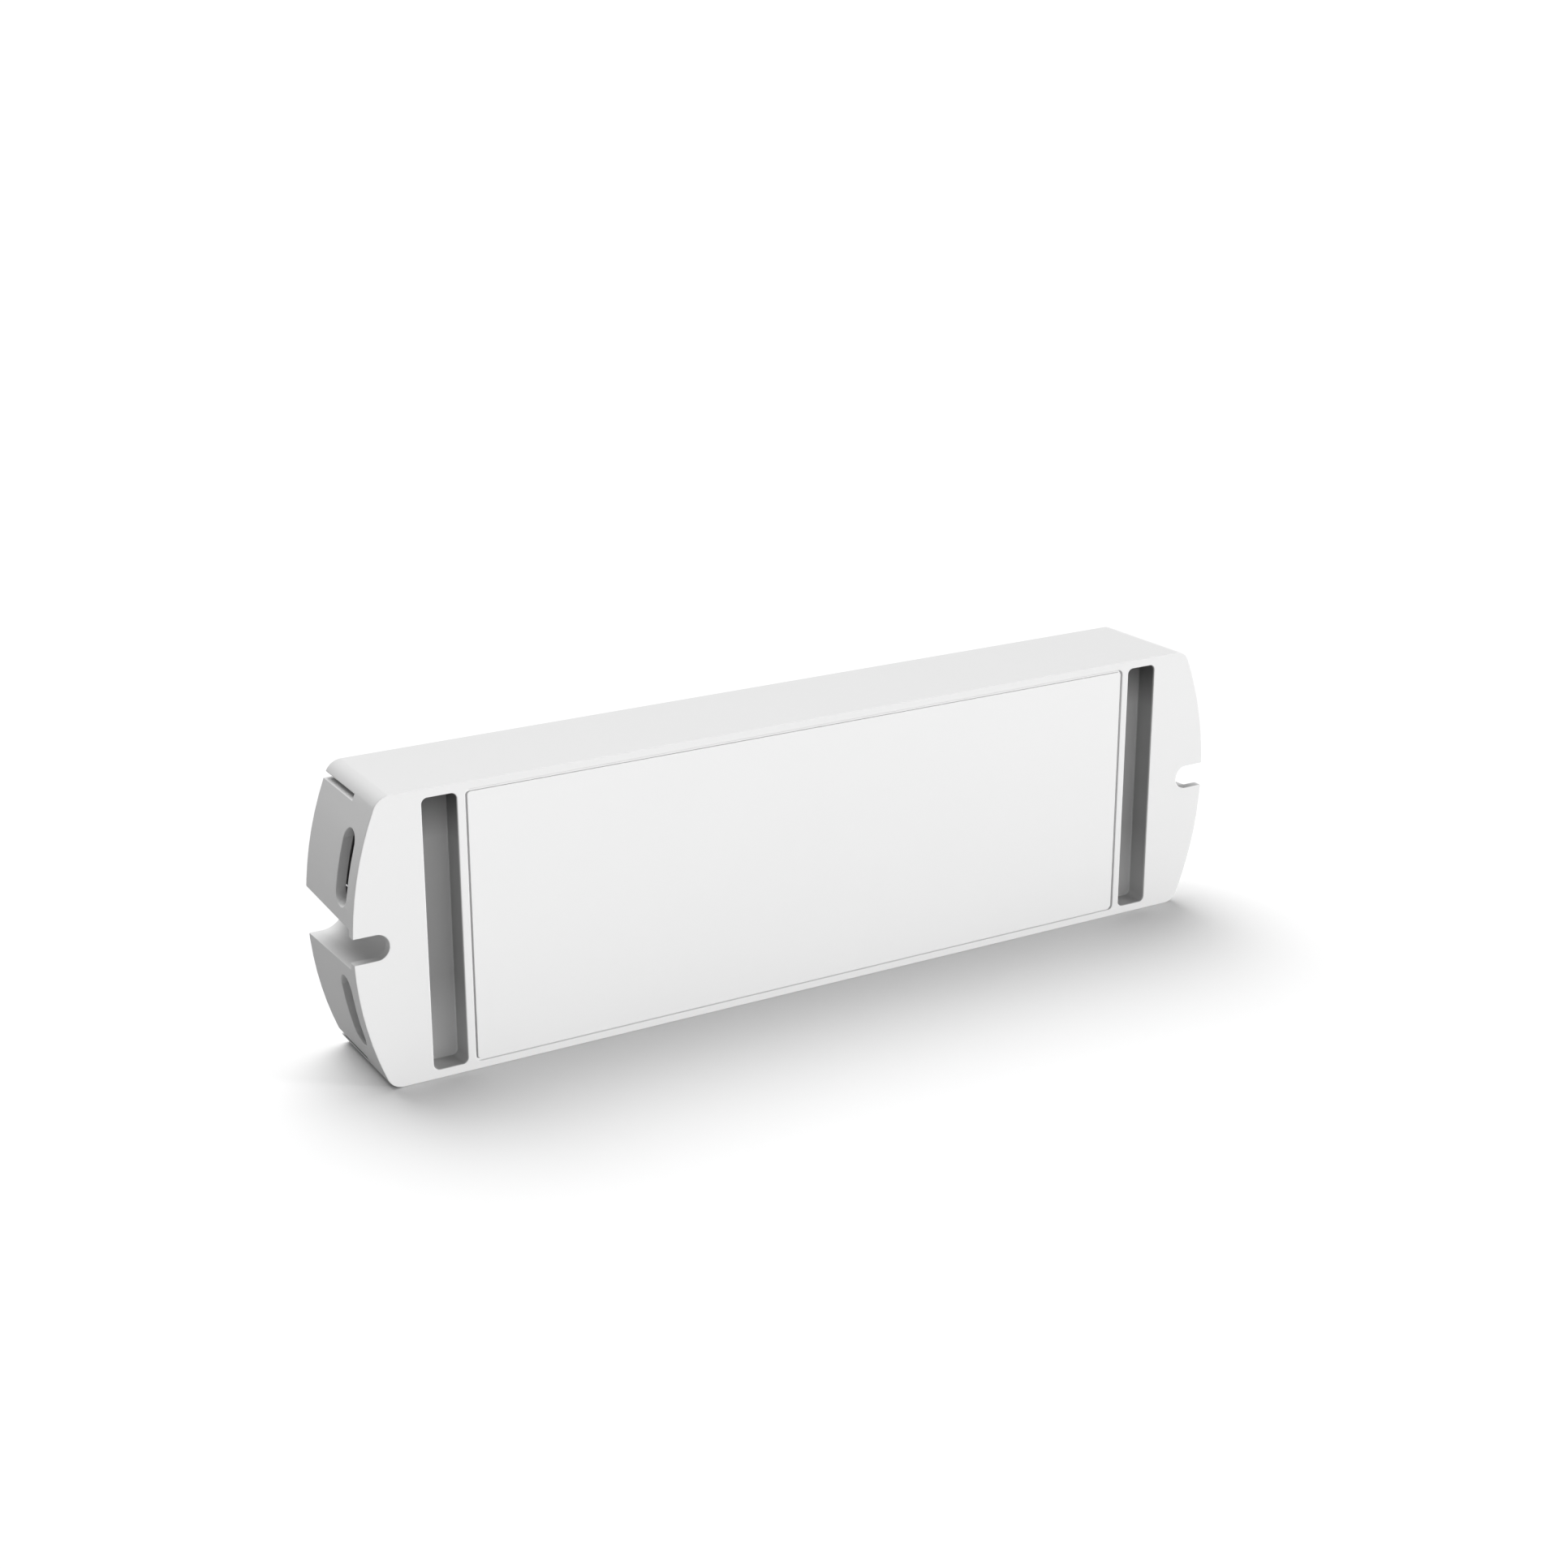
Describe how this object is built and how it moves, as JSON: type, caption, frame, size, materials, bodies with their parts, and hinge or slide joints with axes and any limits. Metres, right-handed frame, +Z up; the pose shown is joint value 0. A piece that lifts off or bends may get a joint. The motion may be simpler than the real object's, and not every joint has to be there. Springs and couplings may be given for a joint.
{
  "type": "dmx decoder",
  "caption": "Slim lighting control decoder in a white moulded case with bowed ends, open screw slots, wire entries and a flat mounting face.",
  "frame": {"origin": "middle of the long side that the case stands on", "axes": "+X along the case, +Y from the mounting face to the back covers, +Z up across the face"},
  "size_m": [0.172, 0.0216, 0.05],
  "materials": {
    "case_plastic": "fine matt moulded white plastic",
    "label_film": "smooth satin white film",
    "screw_steel": "zinc plated",
    "board_green": "green solder mask",
    "terminal_plastic": "green moulded",
    "contact_metal": "tin plated",
    "can_aluminium": "drawn can",
    "chip_black": "black moulding compound",
    "ferrite": "dark ground ferrite",
    "ceramic": "ceramic body",
    "lens": "clear green lens"
  },
  "bodies": {
    "root": {"housing_tub": "case_plastic", "face_label": "label_film", "centre_cover": "case_plastic", "wiring_cover_left": "case_plastic", "wiring_cover_right": "case_plastic", "cover_screws": "screw_steel", "circuit_board": "board_green", "board_screws": "screw_steel", "dmx_input_terminal": "terminal_plastic", "dmx_output_terminal": "terminal_plastic", "led_output_terminal": "terminal_plastic", "power_input_terminal": "terminal_plastic", "wire_cages": "contact_metal", "terminal_screws": "screw_steel", "input_capacitor_1": "can_aluminium", "input_capacitor_2": "can_aluminium", "output_transistor_1": "chip_black", "output_transistor_2": "chip_black", "output_transistor_3": "chip_black", "output_transistor_4": "chip_black", "input_fuse": "ceramic", "input_diode": "chip_black", "gate_driver": "chip_black", "power_inductor": "ferrite", "voltage_regulator": "chip_black", "microcontroller": "chip_black", "clock_crystal": "contact_metal", "bus_transceiver": "chip_black", "data_optocoupler_1": "chip_black", "data_optocoupler_2": "chip_black", "status_light": "lens", "chip_resistors": "chip_black"}
  },
  "joints": []
}
